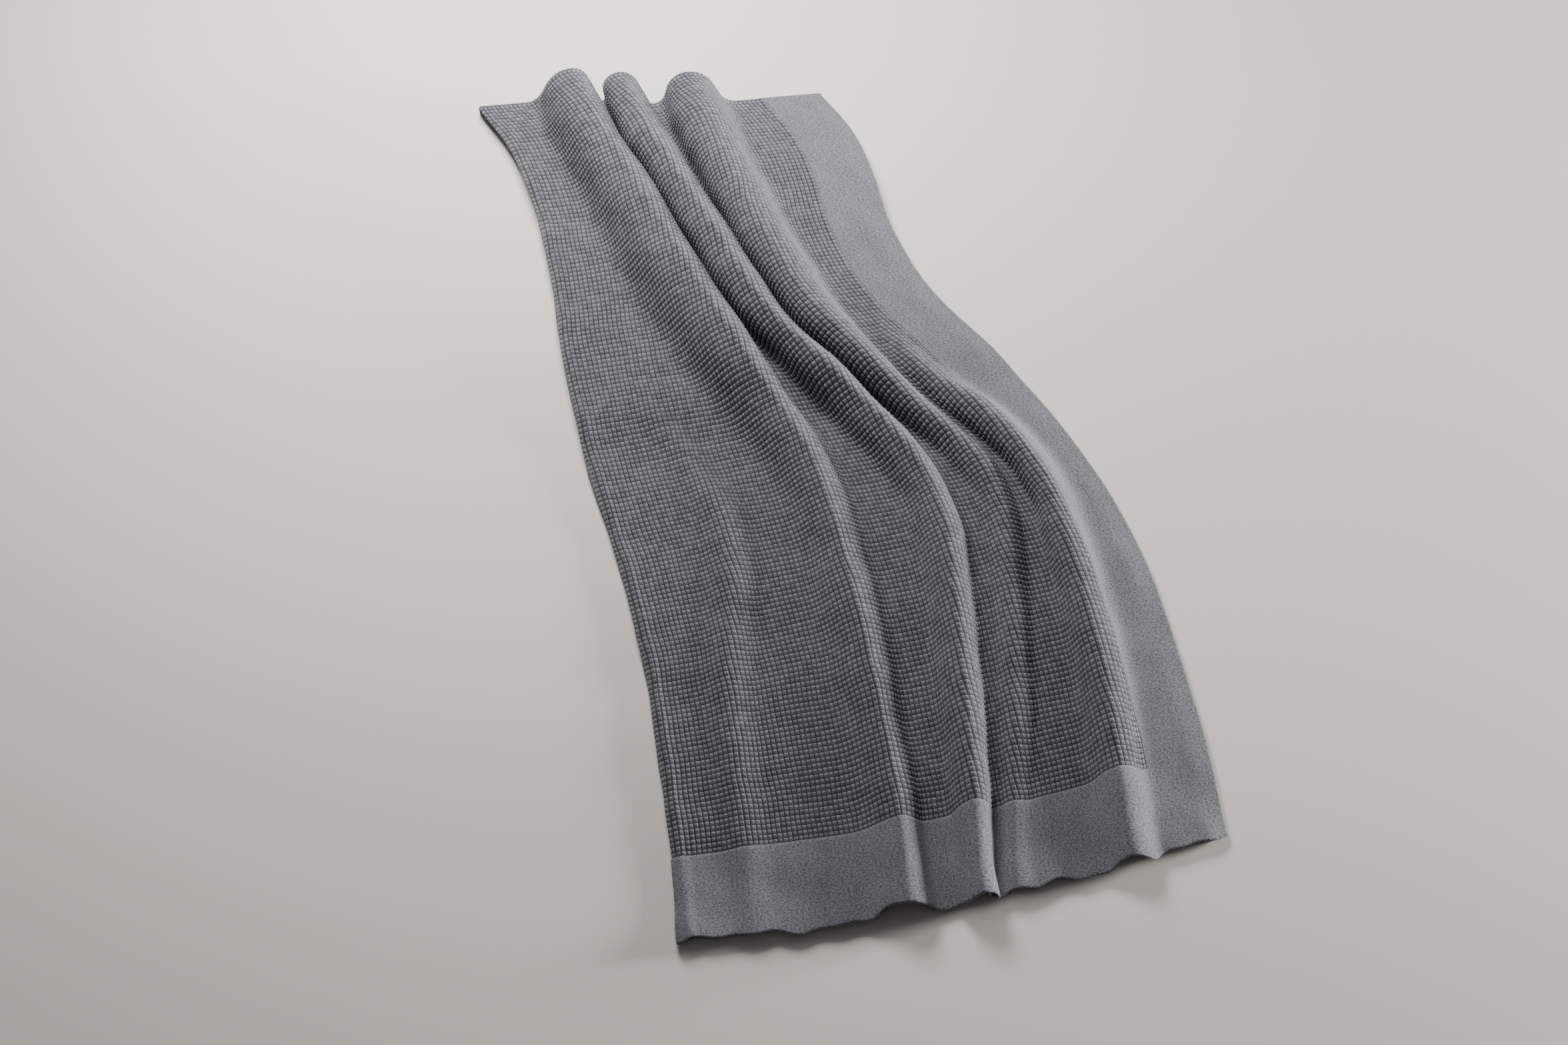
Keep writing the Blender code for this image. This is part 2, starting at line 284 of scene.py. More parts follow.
def read_grid(grid, u, y):
    """The grid's value between its points, at u across and y along."""
    across = np.clip(u / U_STEP, 0.0, len(u_grid) - 1.001)
    along = np.clip((y - y_grid[0]) / Y_STEP, 0.0, len(y_grid) - 1.001)
    i, j = across.astype(int), along.astype(int)
    f, g = (across - i)[..., None], (along - j)[..., None]
    near = grid[j, i] * (1.0 - f) + grid[j, i + 1] * f
    far = grid[j + 1, i] * (1.0 - f) + grid[j + 1, i + 1] * f
    return near * (1.0 - g) + far * g


def smooth_step(x):
    """0 below 0, 1 above 1, and a smooth rise between."""
    x = np.clip(x, 0.0, 1.0)
    return x * x * (3.0 - 2.0 * x)


def upper_slack(u, y):
    """How far the upper half lifts: pinched crests, slack, a rolled fold and a curled edge."""
    lift = np.zeros_like(u)
    for ridge, name in enumerate(RIDGES):
        if name in PINCHES:
            crest = np.interp(y, y_grid, crests[:, ridge])
            table = np.array(RIDGES[name])
            raised = smooth_step(np.interp(y, table[:, 0], table[:, 4]) / PINCH_FULL_HEIGHT)
            lift += PINCHES[name] * raised * np.exp(-((u - crest) / PINCH_REACH) ** 2)
    for across, along, height in SLACK:
        wave = np.sin(2 * np.pi * (u / across + y / (3 * along)))
        wave = wave * np.cos(2 * np.pi * y / along + u)
        lift += height * (1.0 + wave)
    roll_place, roll_reach, roll_height = EDGE_ROLL
    lift += roll_height * np.exp(-((u - roll_place) / roll_reach) ** 2)
    curl = sum(size * (1.0 + np.sin(2 * np.pi * u / length + 9 * length))
               for length, size in EDGE_LIFT)
    lift += curl * smooth_step(1.0 - y / EDGE_LIFT_REACH)
    lift = lift * smooth_step((LAID_LENGTH - y) / HEAD_REACH)
    return lift * smooth_step((OPEN_EDGE_START - u) / OPEN_EDGE_REACH)


def cloth_points(s, t, outward):
    """Where points of the cloth lie: s across, t along, and so far outward from its middle.

    The angle side turns the cloth round its lengthwise fold, and the angle head round its head
    end. Past the head's turn it runs back underneath as a flap.
    """
    from_fold = s - CLOTH_WIDTH / 2
    side = math.pi * np.clip(from_fold / SIDE_FOLD + 0.5, 0.0, 1.0)
    lower = (1.0 - np.cos(side)) / 2.0
    u = np.maximum(np.abs(from_fold) - SIDE_FOLD / 2, 0.0)
    u -= UNDERLAYER_SETBACK * lower * u / HALF_WIDTH
    head_length = math.pi * (LAYER_PITCH * (1.0 + np.cos(side) / 2.0) + THICKNESS / 2)
    head = math.pi * np.clip((t - LAID_LENGTH) / head_length, 0.0, 1.0)
    flap = np.maximum(t - LAID_LENGTH - head_length, 0.0)
    flap *= (LAID_LENGTH - FLAP_END) / (CLOTH_LENGTH - LAID_LENGTH - head_length)
    y = np.minimum(t, LAID_LENGTH) - flap
    y = y + UNDERLAYER_SETBACK * lower * np.clip(1.0 - t / SETBACK_REACH, 0.0, 1.0)
    # A layer that lies above or below the surface has more of its cloth on the outer bends
    off_surface = (LAYER_PITCH + LAYER_PITCH / 2 * np.cos(side)) * np.cos(head)
    in_cloth = u
    for settling in range(SETTLING_STEPS):
        wanted = in_cloth + off_surface * read_grid(surface_slope, u, y)[..., 0]
        u = (1.0 - SETTLING_SHARE) * u + SETTLING_SHARE * wanted
    laid = np.cos(side / 2) ** 2 * (head == 0.0)
    radius = LAYER_PITCH / 2 + outward + upper_slack(u, y) * laid
    from_middle = LAYER_PITCH + radius * np.cos(side)
    across = u - radius * np.sin(side)
    points = read_grid(surface, u, y)
    points = points + (from_middle * np.cos(head))[..., None] * read_grid(surface_normal, u, y)
    points[..., 0] += across - u
    points[..., 1] += from_middle * np.sin(head)
    fade = np.clip(1.0 - y / SCALLOP_DEPTH, 0.0, 1.0) ** 2
    for length, size in SCALLOPS:
        points[..., 1] += fade * size * np.sin(2.0 * np.pi * u / length + length)
    over_flap = 1.5 * LAYER_PITCH + THICKNESS / 2
    points[..., 2] += over_flap - 2.0 * LAYER_PITCH * smooth_step((FLAP_END - y) / STEP_DOWN)
    return points


# The cloth itself is drawn as one thin sheet. Its border is plain knit, and inside it the sheet
# steps down under the waffle, which is knitted in the same piece.
SIDE_BORDER = 0.080
END_BORDER = 0.112
WAFFLE_COLUMNS = 208
WAFFLE_ROWS = 228
COLUMN_PITCH = (CLOTH_WIDTH - 2 * SIDE_BORDER) / WAFFLE_COLUMNS
ROW_PITCH = (CLOTH_LENGTH - 2 * END_BORDER) / WAFFLE_ROWS
BORDER_FACE = THICKNESS / 2 - 0.00015
WAFFLE_BACKING = THICKNESS / 2 - 0.0018
EDGE_ROUNDING = 0.0022
PLAIN_START = 0.005
PLAIN_STEP = 0.0042
# The step down, in waffle cells out from the waffle: where it starts and where it ends
STEP_START = 1.0
STEP_END = 0.75
# The sheet's grid under the waffle: how many cells to a line across, and along
CELLS_TO_A_LINE_ACROSS = 0.9
CELLS_TO_A_LINE_ALONG = 3.0
FOLD_LINES = 9


def stations(length, border, pitch, stride, fold_middle, fold_length):
    """Where the sheet's grid lines lie over one of its lengths: fine by its edges and fold."""
    inset = [0.0, 0.0003, 0.0009, 0.0016, EDGE_ROUNDING]
    plain = list(np.arange(PLAIN_START, border - (STEP_START + 0.2) * pitch, PLAIN_STEP))
    ramp = [border - STEP_START * pitch, border - STEP_END * pitch]
    one_side = inset + plain + ramp
    inner = np.arange(border, length - border + pitch / 2, pitch * stride)
    fold = np.linspace(fold_middle - fold_length / 2, fold_middle + fold_length / 2, FOLD_LINES)
    inner = [x for x in inner if not fold[0] - pitch / 2 < x < fold[-1] + pitch / 2]
    return np.array(sorted(one_side + [length - x for x in one_side] + inner + list(fold)))


head_turn = math.pi * (1.5 * LAYER_PITCH + THICKNESS / 2)
sheet_s = stations(CLOTH_WIDTH, SIDE_BORDER, COLUMN_PITCH, CELLS_TO_A_LINE_ACROSS,
                   CLOTH_WIDTH / 2, SIDE_FOLD)
sheet_t = stations(CLOTH_LENGTH, END_BORDER, ROW_PITCH, CELLS_TO_A_LINE_ALONG,
                   LAID_LENGTH + head_turn / 2, head_turn)


def backing_face(s, t):
    """How far the sheet's outer face lies from its middle: lower under the waffle."""
    in_s = np.minimum(s, CLOTH_WIDTH - s) - SIDE_BORDER
    in_t = np.minimum(t, CLOTH_LENGTH - t) - END_BORDER
    inside = np.minimum(in_s / COLUMN_PITCH, in_t / ROW_PITCH)
    stepped = np.clip((inside + STEP_START) / (STEP_START - STEP_END), 0.0, 1.0)
    return BORDER_FACE + (WAFFLE_BACKING - BORDER_FACE) * stepped


def edge_fullness(s, t):
    """The sheet's thickness near its edges, as a share of the full one: a rounded edge."""
    inset = np.minimum(np.minimum(s, CLOTH_WIDTH - s), np.minimum(t, CLOTH_LENGTH - t))
    x = np.clip(inset / EDGE_ROUNDING, 0.0, 1.0)
    return np.sqrt(1.0 - (1.0 - x) ** 2)


def grid_faces(columns, rows, flipped=False):
    """The four corners of each face of a grid of points, row by row."""
    corner = np.arange(rows - 1)[:, None] * columns + np.arange(columns - 1)[None, :]
    corner = corner.ravel()
    faces = np.stack((corner, corner + columns, corner + columns + 1, corner + 1), axis=1)
    return faces[:, ::-1] if flipped else faces


def new_piece(name, points, faces, uv, material):
    """A mesh object at the origin, its shape in its mesh, with one UV for each vertex."""
    mesh = bpy.data.meshes.new(name)
    mesh.from_pydata(points.reshape(-1, 3).tolist(), [], faces.tolist())
    layer = mesh.uv_layers.new(name="cloth")
    corners = np.zeros(len(mesh.loops), dtype=np.int32)
    mesh.loops.foreach_get("vertex_index", corners)
    layer.data.foreach_set("uv", uv.reshape(-1, 2)[corners].astype(np.float32).ravel())
    mesh.shade_smooth()
    mesh.materials.append(material)
    piece = bpy.data.objects.new(name, mesh)
    bpy.context.scene.collection.objects.link(piece)
    return piece


def to_cloth_uv(s, t):
    """The cloth's own coordinates, in waffle cells from the border's inner corner."""
    return np.stack(((s - SIDE_BORDER) / COLUMN_PITCH, (t - END_BORDER) / ROW_PITCH), axis=-1)


# The yarn is spun from dark and pale grey fleece, so its colour is flecked. This group, which
# both finishes use, gives that colour, and the height of the fibres' fine unevenness.
def group_socket(tree, name, in_out, kind, value=None):
    """A socket of a node group, with its starting value."""
    socket = tree.interface.new_socket(name=name, in_out=in_out, socket_type=kind)
    if value is not None:
        socket.default_value = value
    return socket


def add_node(tree, kind, inputs=(), **settings):
    """A node with these settings, and each input either joined to a socket or given a value."""
    node = tree.nodes.new(kind)
    for setting, value in settings.items():
        setattr(node, setting, value)
    for name, value in dict(inputs).items():
        if isinstance(value, bpy.types.NodeSocket):
            tree.links.new(value, node.inputs[name])
        else:
            node.inputs[name].default_value = value
    return node


def calculate(tree, operation, first, second=None, third=None, clamp=False):
    """The result of one sum on sockets or numbers."""
    terms = {i: x for i, x in enumerate((first, second, third)) if x is not None}
    return add_node(tree, "ShaderNodeMath", terms, operation=operation, use_clamp=clamp).outputs[0]


# Broad patches are a little paler or darker: how many to a waffle cell, and how strong
BROAD_SCALE = 0.22
BROAD_SHARE = 0.20


def build_fleece_group():
    """Flecked fleece: a colour between a dark and a pale one, and a fine height."""
    tree = bpy.data.node_groups.new("flecked fleece", "ShaderNodeTree")
    group_socket(tree, "Cloth", "INPUT", "NodeSocketVector")
    group_socket(tree, "Dark", "INPUT", "NodeSocketColor", (0.05, 0.05, 0.06, 1.0))
    group_socket(tree, "Pale", "INPUT", "NodeSocketColor", (0.5, 0.5, 0.55, 1.0))
    group_socket(tree, "Fleck Scale", "INPUT", "NodeSocketFloat", 4.0)
    group_socket(tree, "Streak", "INPUT", "NodeSocketFloat", 0.5)
    group_socket(tree, "Balance", "INPUT", "NodeSocketFloat", 0.5)
    group_socket(tree, "Contrast", "INPUT", "NodeSocketFloat", 1.0)
    group_socket(tree, "Color", "OUTPUT", "NodeSocketColor")
    group_socket(tree, "Height", "OUTPUT", "NodeSocketFloat")
    start = add_node(tree, "NodeGroupInput").outputs
    end = add_node(tree, "NodeGroupOutput")
    parts = add_node(tree, "ShaderNodeSeparateXYZ", {0: start["Cloth"]}).outputs
    streaked = add_node(tree, "ShaderNodeCombineXYZ", {
        0: parts[0], 1: calculate(tree, "MULTIPLY", parts[1], start["Streak"]), 2: 0.0})
    flecks = add_node(tree, "ShaderNodeTexNoise", {
        "Vector": streaked.outputs[0], "Scale": start["Fleck Scale"], "Detail": 3.0,
        "Roughness": 0.62}, noise_dimensions="2D").outputs[0]
    broad = add_node(tree, "ShaderNodeTexNoise", {
        "Vector": start["Cloth"], "Scale": BROAD_SCALE, "Detail": 3.0, "Roughness": 0.55},
        noise_dimensions="2D").outputs[0]
    off_middle = calculate(tree, "SUBTRACT", flecks, 0.5)
    fleck_part = calculate(tree, "MULTIPLY_ADD", off_middle, start["Contrast"], start["Balance"])
    broad_part = calculate(tree, "MULTIPLY_ADD", calculate(tree, "SUBTRACT", broad, 0.5),
                           BROAD_SHARE, fleck_part, clamp=True)
    colour = add_node(tree, "ShaderNodeMix", {
        0: broad_part, 6: start["Dark"], 7: start["Pale"]}, data_type="RGBA").outputs[2]
    tree.links.new(colour, end.inputs["Color"])
    tree.links.new(flecks, end.inputs["Height"])
    return tree


fleece_group = build_fleece_group()

DARK_FLEECE = (0.020, 0.021, 0.025, 1.0)
PALE_FLEECE = (0.235, 0.242, 0.268, 1.0)
WOOL_ROUGHNESS = 0.9
WOOL_SPECULAR = 0.25
WOOL_SHEEN = 0.12
WOOL_SHEEN_ROUGHNESS = 0.45


def wool_material(name):
    """A wool finish, with its own shader and the cloth's coordinates to work from."""
    material = bpy.data.materials.new(name)
    material.use_nodes = True
    tree = material.node_tree
    shader = tree.nodes["Principled BSDF"]
    shader.inputs["Roughness"].default_value = WOOL_ROUGHNESS
    shader.inputs["Specular IOR Level"].default_value = WOOL_SPECULAR
    shader.inputs["Sheen Weight"].default_value = WOOL_SHEEN
    shader.inputs["Sheen Roughness"].default_value = WOOL_SHEEN_ROUGHNESS
    cloth = add_node(tree, "ShaderNodeUVMap", uv_map="cloth").outputs[0]
    return material, tree, shader, cloth


# The border is plain knit, lightly felted: fine pale and dark flecks, with faint wales
WALES_TO_A_CELL = 3.0
WALE_SHARE = 0.12

plain_knit, tree, shader, cloth = wool_material("plain wool knit")
fleece = add_node(tree, "ShaderNodeGroup", {
    "Cloth": cloth, "Dark": DARK_FLEECE, "Pale": PALE_FLEECE, "Fleck Scale": 2.0,
    "Streak": 1.8, "Balance": 0.55, "Contrast": 1.7}, node_tree=fleece_group).outputs
tree.links.new(fleece["Color"], shader.inputs["Base Color"])
parts = add_node(tree, "ShaderNodeSeparateXYZ", {0: cloth}).outputs
wale = calculate(tree, "MULTIPLY", parts[0], 2 * math.pi * WALES_TO_A_CELL)
wale = calculate(tree, "SINE", wale)
wale_height = calculate(tree, "MULTIPLY_ADD", wale, WALE_SHARE, fleece["Height"])
bump = add_node(tree, "ShaderNodeBump", {
    "Strength": 0.07, "Distance": 0.0006, "Height": wale_height})
tree.links.new(bump.outputs[0], shader.inputs["Normal"])

columns, rows = len(sheet_s), len(sheet_t)
grid_s, grid_t = np.meshgrid(sheet_s, sheet_t)
fullness = edge_fullness(grid_s, grid_t)
outer = cloth_points(grid_s, grid_t, backing_face(grid_s, grid_t) * fullness)
inner = cloth_points(grid_s, grid_t, -THICKNESS / 2 * fullness)
outer_index = np.arange(columns * rows).reshape(rows, columns)
inner_index = outer_index + columns * rows
inner_index[[0, -1], :] = outer_index[[0, -1], :]
inner_index[:, [0, -1]] = outer_index[:, [0, -1]]
outer_faces = grid_faces(columns, rows)
inner_faces = inner_index.ravel()[grid_faces(columns, rows, flipped=True)]
sheet_uv = to_cloth_uv(grid_s, grid_t)
sheet_faces = np.concatenate((outer_faces, inner_faces))
sheet = new_piece("throw_sheet", np.stack((outer, inner)), sheet_faces,
                  np.stack((sheet_uv, sheet_uv)), plain_knit)


# Inside the border the cloth is a waffle knit: rows and columns of small square puffs, each
# two stitches wide. Its columns are parted deeply and its rows less so. The puffs stand in
# relief on a fine grid that follows the folds, coarser where the cloth faces down.
GROOVE_LEVEL = 0.0003
PUFF_HEIGHT = 0.0020
LOWER_PUFF_HEIGHT = 0.0011
RIM_HEIGHT = 0.0001
BEAD_HEIGHT = 0.8 * PUFF_HEIGHT
ROW_GROOVE_SHARE = 0.9
# The rows and columns don't run quite straight: waves across and along, and how far each shifts
# them. They settle over the first cells in from the waffle's edge, and rows sway less.
WOBBLES = ((0.21, 0.13, 0.0005), (0.083, 0.31, 0.0004), (0.37, 0.071, 0.0003))
WOBBLE_CELLS = 3.0
ROW_WOBBLE_SHARE = 0.6


def build_waffle_tree():
    """Raises the puffs of a grid that carries, at each point, its cell, outward and depths."""
    tree = bpy.data.node_groups.new("waffle relief", "GeometryNodeTree")
    group_socket(tree, "Geometry", "INPUT", "NodeSocketGeometry")
    group_socket(tree, "Fineness", "INPUT", "NodeSocketInt", 1)
    group_socket(tree, "Boxiness", "INPUT", "NodeSocketFloat", 3.0)
    group_socket(tree, "Unevenness", "INPUT", "NodeSocketFloat", 0.25)
    group_socket(tree, "Seed", "INPUT", "NodeSocketFloat", 7.0)
    group_socket(tree, "Wool", "INPUT", "NodeSocketMaterial")
    group_socket(tree, "Geometry", "OUTPUT", "NodeSocketGeometry")
    start = add_node(tree, "NodeGroupInput").outputs
    fine = add_node(tree, "GeometryNodeSubdivideMesh", {
        "Mesh": start["Geometry"], "Level": start["Fineness"]})

    def attribute(name, kind="FLOAT"):
        node = add_node(tree, "GeometryNodeInputNamedAttribute", {"Name": name}, data_type=kind)
        return node.outputs["Attribute"]

    cell = attribute("cloth", "FLOAT_VECTOR")
    parts = add_node(tree, "ShaderNodeSeparateXYZ", {0: cell}).outputs
    height = attribute("relief")
    depths = (attribute("column_groove"), attribute("row_groove"))
    for part, depth in zip(parts, depths):
        from_middle = calculate(tree, "MULTIPLY_ADD", calculate(tree, "FRACT", part), 2.0, -1.0)
        fall = calculate(tree, "POWER", calculate(tree, "ABSOLUTE", from_middle), start["Boxiness"])
        sunk = calculate(tree, "MULTIPLY", fall, depth)
        height = calculate(tree, "MULTIPLY", height, calculate(tree, "SUBTRACT", 1.0, sunk))
    number = add_node(tree, "ShaderNodeVectorMath", {0: cell}, operation="FLOOR").outputs[0]
    chance = add_node(tree, "ShaderNodeTexWhiteNoise", {"Vector": number, "W": start["Seed"]},
                      noise_dimensions="4D").outputs[0]
    off_middle = calculate(tree, "SUBTRACT", chance, 0.5)
    uneven = calculate(tree, "MULTIPLY_ADD", off_middle, start["Unevenness"], 1.0)
    height = calculate(tree, "MULTIPLY", height, uneven)
    offset = add_node(tree, "ShaderNodeVectorMath", {
        0: attribute("outward", "FLOAT_VECTOR"), "Scale": height}, operation="SCALE").outputs[0]
    raised = add_node(tree, "GeometryNodeSetPosition", {
        "Geometry": fine.outputs[0], "Offset": offset})
    real = add_node(tree, "GeometryNodeRealizeInstances", {0: raised.outputs[0]})
    made = add_node(tree, "GeometryNodeSetMaterial", {
        "Geometry": real.outputs[0], "Material": start["Wool"]})
    end = add_node(tree, "NodeGroupOutput")
    tree.links.new(made.outputs[0], end.inputs["Geometry"])
    return tree


def run_nodes(piece, tree, **values):
    """Runs a geometry tree on a piece with these inputs, and keeps the result as a plain mesh."""
    modifier = piece.modifiers.new(tree.name, "NODES")
    modifier.node_group = tree
    for item in tree.interface.items_tree:
        if item.in_out == "INPUT" and item.name in values:
            modifier[item.identifier] = values[item.name]
    graph = bpy.context.evaluated_depsgraph_get()
    made = bpy.data.meshes.new_from_object(piece.evaluated_get(graph), depsgraph=graph)
    piece.modifiers.clear()
    rough = piece.data
    piece.data = made
    made.name = piece.name
    bpy.data.meshes.remove(rough)


# The waffle's own finish: the same fleece, with painted shade darkening its grooves, and two
# stitches to a puff
GROOVE_PAINTED_SHADE = (0.006, 0.006, 0.008, 1.0)
DEEPEST_SHADE = 0.97
COLUMN_SHARPNESS = 1.5
ROW_SHARPNESS = 1.8
PUFF_VARIATION = 0.2
# The line between a puff's two stitches, painted as shade in the colour: its sharpness, least depth
# of shade, and what chance adds to it
SEAM_SHARPNESS = 5.0
SEAM_SHADE_LEAST = 0.35
SEAM_SHADE_MORE = 0.25
# The holes along the foot border, their darkness painted as shade: how many cells out they begin,
# over how many they deepen, how dark they are at least, and how much darker at the column grooves
HOLE_START = 0.5
HOLE_RAMP = 0.25
HOLE_SHADE_LEAST = 0.45
HOLE_SHADE_MORE = 0.5

waffle_knit, tree, shader, cloth = wool_material("waffle wool knit")
fleece = add_node(tree, "ShaderNodeGroup", {
    "Cloth": cloth, "Dark": DARK_FLEECE, "Pale": PALE_FLEECE, "Fleck Scale": 3.2,
    "Streak": 0.6, "Balance": 0.95, "Contrast": 1.0}, node_tree=fleece_group).outputs
parts = add_node(tree, "ShaderNodeSeparateXYZ", {0: cloth}).outputs
edges = []
for part in (parts[0], parts[1]):
    from_middle = calculate(tree, "MULTIPLY_ADD", calculate(tree, "FRACT", part), 2.0, -1.0)
    edges.append(calculate(tree, "ABSOLUTE", from_middle))
number = add_node(tree, "ShaderNodeVectorMath", {0: cloth}, operation="FLOOR").outputs[0]
chance = add_node(tree, "ShaderNodeTexWhiteNoise", {"Vector": number},
                  noise_dimensions="2D").outputs[0]
# Painted shade: the colour darkens towards the column and row grooves, deepest where they cross
column_shade = calculate(tree, "POWER", edges[0], COLUMN_SHARPNESS)
row_shade = calculate(tree, "POWER", edges[1], ROW_SHARPNESS)
# A thin line of painted shade down the puff's middle parts its two stitches, darker on some puffs
# than others; the same line is pressed into the bump
seam = calculate(tree, "POWER", calculate(tree, "SUBTRACT", 1.0, edges[0]), SEAM_SHARPNESS)
seam_shade_depth = calculate(tree, "MULTIPLY_ADD", chance, SEAM_SHADE_MORE, SEAM_SHADE_LEAST)
seam_shade = calculate(tree, "MULTIPLY", seam, seam_shade_depth)
painted_shade = calculate(tree, "MAXIMUM", calculate(tree, "MAXIMUM", column_shade, row_shade), seam_shade)
off_middle = calculate(tree, "SUBTRACT", chance, 0.5)
painted_shade = calculate(tree, "MULTIPLY_ADD", off_middle, PUFF_VARIATION, painted_shade, clamp=True)
# A fine line of small holes in the knit, one between each two columns, runs along the foot border;
# their darkness is painted shade
past_foot_row = calculate(tree, "MULTIPLY_ADD", parts[1], -1.0 / HOLE_RAMP,
                          -HOLE_START / HOLE_RAMP, clamp=True)
hole_shade_depth = calculate(tree, "MULTIPLY_ADD", edges[0], HOLE_SHADE_MORE, HOLE_SHADE_LEAST)
hole_shade = calculate(tree, "MULTIPLY", past_foot_row, hole_shade_depth)
painted_shade = calculate(tree, "MAXIMUM", painted_shade, hole_shade)
# The fleece colour is mixed towards the groove colour by the painted shade
shaded = add_node(tree, "ShaderNodeMix", {
    0: calculate(tree, "MULTIPLY", painted_shade, DEEPEST_SHADE), 6: fleece["Color"], 7: GROOVE_PAINTED_SHADE},
    data_type="RGBA").outputs[2]
tree.links.new(shaded, shader.inputs["Base Color"])
fibres = calculate(tree, "MULTIPLY", fleece["Height"], 0.8)
stitches = calculate(tree, "MULTIPLY_ADD", seam, -0.7, fibres)
bump = add_node(tree, "ShaderNodeBump", {
    "Strength": 0.6, "Distance": 0.0010, "Height": stitches})
tree.links.new(bump.outputs[0], shader.inputs["Normal"])

waffle_tree = build_waffle_tree()

# The puffs start to flatten this far before the head, where the cloth turns under
FLATTER_BEFORE_HEAD = 0.02
# The cloth's outward direction is measured over this distance
OUTWARD_STEP = 0.001


def waffle_patch(name, columns, rows, fineness):
    """The waffle between two of its columns and two of its rows, as its own piece.

    The grid has a point at each groove and at each puff's middle. Past the waffle's edge it
    ends in a bead, half a cell out, and then a rim that lies on the border.
    """
    p, q = np.meshgrid(np.arange(columns[0], columns[1] + 0.25, 0.5),
                       np.arange(rows[0], rows[1] + 0.25, 0.5))
    s = SIDE_BORDER + COLUMN_PITCH * p
    t = END_BORDER + ROW_PITCH * q
    inside = np.minimum(np.minimum(p, WAFFLE_COLUMNS - p), np.minimum(q, WAFFLE_ROWS - q))
    settled = np.clip(inside / WOBBLE_CELLS, 0.0, 1.0)
    for across, along, size in WOBBLES:
        turn = 2 * np.pi * (s / across + t / along)
        s = s + settled * size * np.sin(turn)
        t = t + settled * size * np.cos(turn + 1.0) * ROW_WOBBLE_SHARE
    upper = np.cos(np.pi * np.clip((s - CLOTH_WIDTH / 2) / SIDE_FOLD + 0.5, 0.0, 1.0) / 2) ** 2
    upper *= 1.0 - smooth_step((t - LAID_LENGTH + FLATTER_BEFORE_HEAD) / head_turn)
    level = GROOVE_LEVEL * upper
    relief = LOWER_PUFF_HEIGHT + (PUFF_HEIGHT - LOWER_PUFF_HEIGHT) * upper
    points = cloth_points(s, t, level)
    outward = cloth_points(s, t, level + OUTWARD_STEP) - points
    outward /= np.linalg.norm(outward, axis=2, keepdims=True)
    in_columns = np.minimum(p, WAFFLE_COLUMNS - p)
    in_rows = np.minimum(q, WAFFLE_ROWS - q)
    rim, past_columns, past_rows = inside < -0.75, in_columns < -0.25, in_rows < -0.25
    relief = np.where(rim, RIM_HEIGHT, np.where(inside < -0.25, BEAD_HEIGHT, relief))
    column_groove = np.where(past_columns | rim, 0.0, 1.0)
    row_groove = np.where(past_rows | past_columns, 0.0, ROW_GROOVE_SHARE)
    count = p.shape[1]
    patch = new_piece(name, points, grid_faces(count, p.shape[0]), np.stack((p, q), axis=-1),
                      waffle_knit)
    for attribute, values in (("relief", relief), ("column_groove", column_groove),
                              ("row_groove", row_groove)):
        layer = patch.data.attributes.new(attribute, "FLOAT", "POINT")
        layer.data.foreach_set("value", values.astype(np.float32).ravel())
    layer = patch.data.attributes.new("outward", "FLOAT_VECTOR", "POINT")
    layer.data.foreach_set("vector", outward.astype(np.float32).ravel())
    run_nodes(patch, waffle_tree, Fineness=fineness, Boxiness=3.0, Unevenness=0.25, Seed=7.0,
              Wool=waffle_knit)
    return patch


waffle = [
    waffle_patch("throw_waffle_right", (-1, 34.5), (-1, 169.5), 1),
    waffle_patch("throw_waffle_middle", (34.5, 70.5), (-1, 169.5), 1),
    waffle_patch("throw_waffle_left", (70.5, 105.5), (-1, 169.5), 1),
    waffle_patch("throw_waffle_underside", (105.5, WAFFLE_COLUMNS + 1), (-1, WAFFLE_ROWS + 1), 0),
    waffle_patch("throw_waffle_turned_under", (-1, 105.5), (169.5, WAFFLE_ROWS + 1), 0),
]

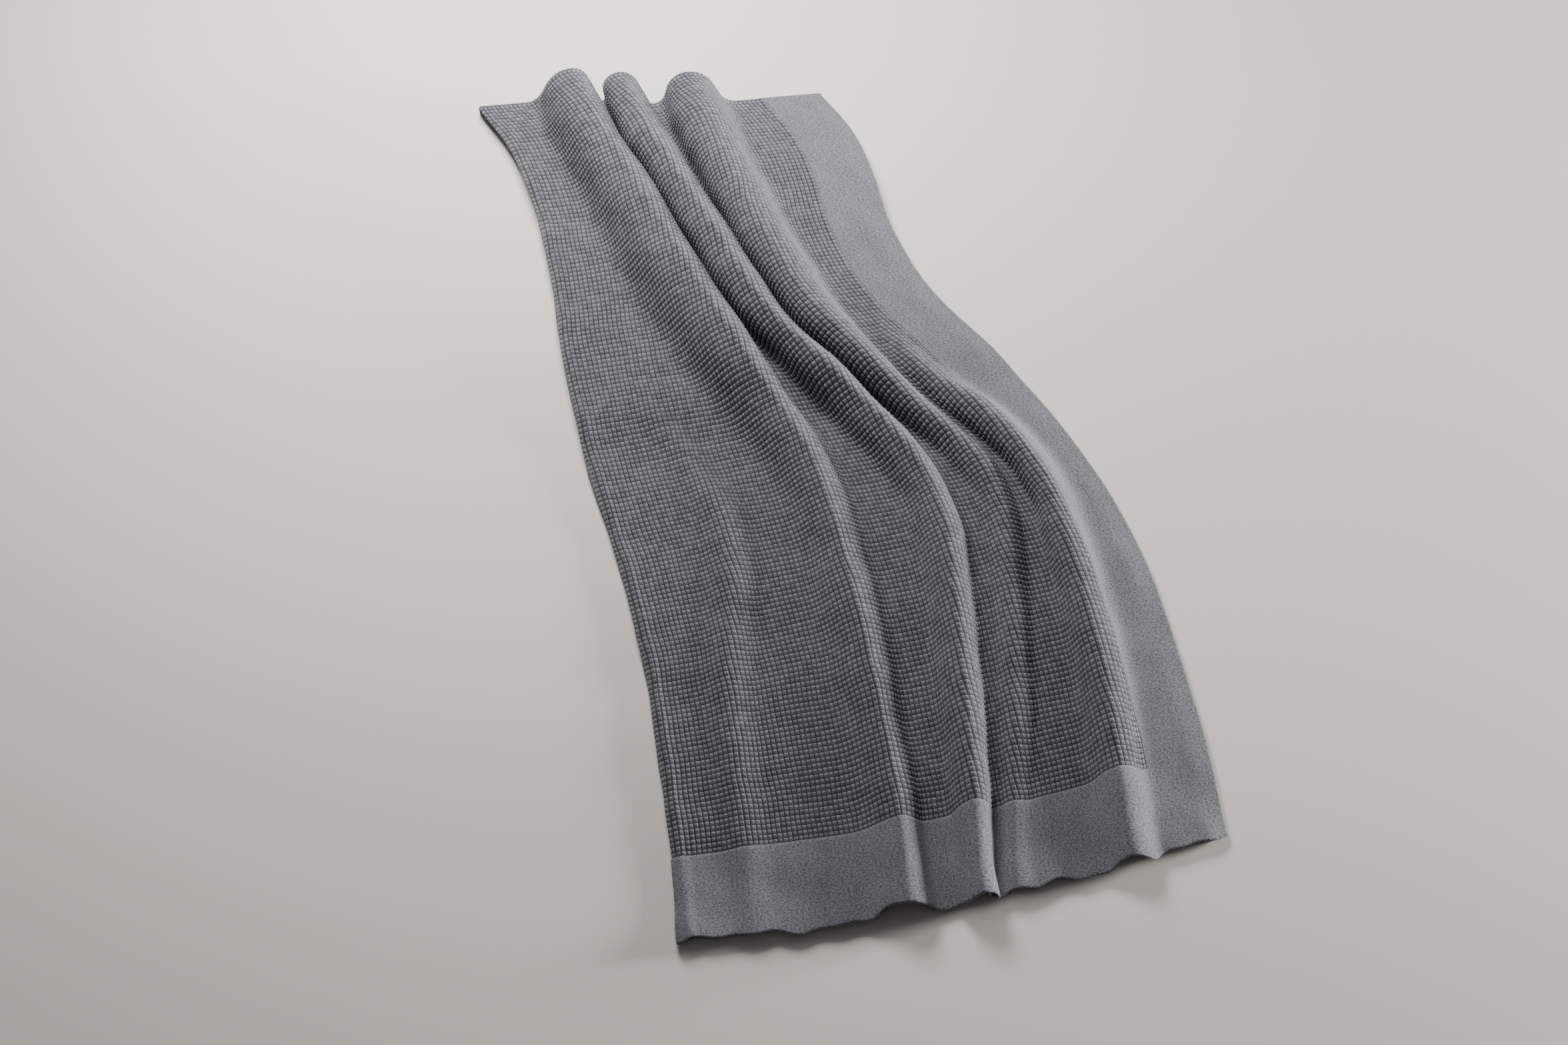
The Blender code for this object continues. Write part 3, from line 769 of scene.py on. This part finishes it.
# The laid throw is centred where its solid is
low, high = (np.array(corner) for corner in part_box("throw"))
made_low, made_high = outer.reshape(-1, 3).min(axis=0), outer.reshape(-1, 3).max(axis=0)
shift = (low + high - made_low - made_high) / 2
for piece in [sheet, *waffle]:
    piece.data.transform(Matrix.Translation((shift[0], shift[1], 0.0)))
    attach(piece, "root")
    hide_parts("throw")


# The floor is a plain warm off-white, matt and unmarked, and wide enough that its edge stays out
# of sight. The throw lies straight on it.
FLOOR_SIZE = 60.0
FLOOR_COLOUR = (0.70, 0.655, 0.61, 1.0)
FLOOR_ROUGHNESS = 0.9


def plain_finish(name, colour, roughness):
    """A plain matt finish."""
    material = bpy.data.materials.new(name)
    material.use_nodes = True
    shader = material.node_tree.nodes["Principled BSDF"]
    shader.inputs["Base Color"].default_value = colour
    shader.inputs["Roughness"].default_value = roughness
    shader.inputs["Specular IOR Level"].default_value = 0.2
    return material


bpy.ops.mesh.primitive_plane_add(size=FLOOR_SIZE)
floor = bpy.context.object
floor.name = "floor"
floor.data.materials.append(plain_finish("pale floor", FLOOR_COLOUR, FLOOR_ROUGHNESS))


# The light is a soft window above and beyond the throw's head, and a low soft one from the right
# that rakes across the ridges, as in the photograph. A weak even daylight fills the valleys.
DAYLIGHT = (1.0, 0.985, 0.97)
SKY_COLOUR = (0.97, 0.98, 1.0, 1.0)
SKY_STRENGTH = 0.13


def soft_light(name, place, towards, size, power):
    """A square area light at a place, facing a point."""
    lamp = bpy.data.lights.new(name, "AREA")
    lamp.size = size
    lamp.energy = power
    lamp.color = DAYLIGHT
    light = bpy.data.objects.new(name, lamp)
    light.location = place
    direction = Vector(towards) - Vector(place)
    light.rotation_euler = direction.to_track_quat("-Z", "Y").to_euler()
    bpy.context.scene.collection.objects.link(light)
    return light


window = soft_light("window", place=(-0.2, 1.0, 0.95), towards=(-0.1, 0.4, 0.0), size=0.7,
                    power=37.0)
side_light = soft_light("side light", place=(3.0, -0.4, 0.50), towards=(0.0, -0.1, 0.0), size=0.6,
                        power=225.0)
world = bpy.data.worlds.new("plain studio")
world.use_nodes = True
background = world.node_tree.nodes["Background"]
background.inputs["Color"].default_value = SKY_COLOUR
background.inputs["Strength"].default_value = SKY_STRENGTH
bpy.context.scene.world = world
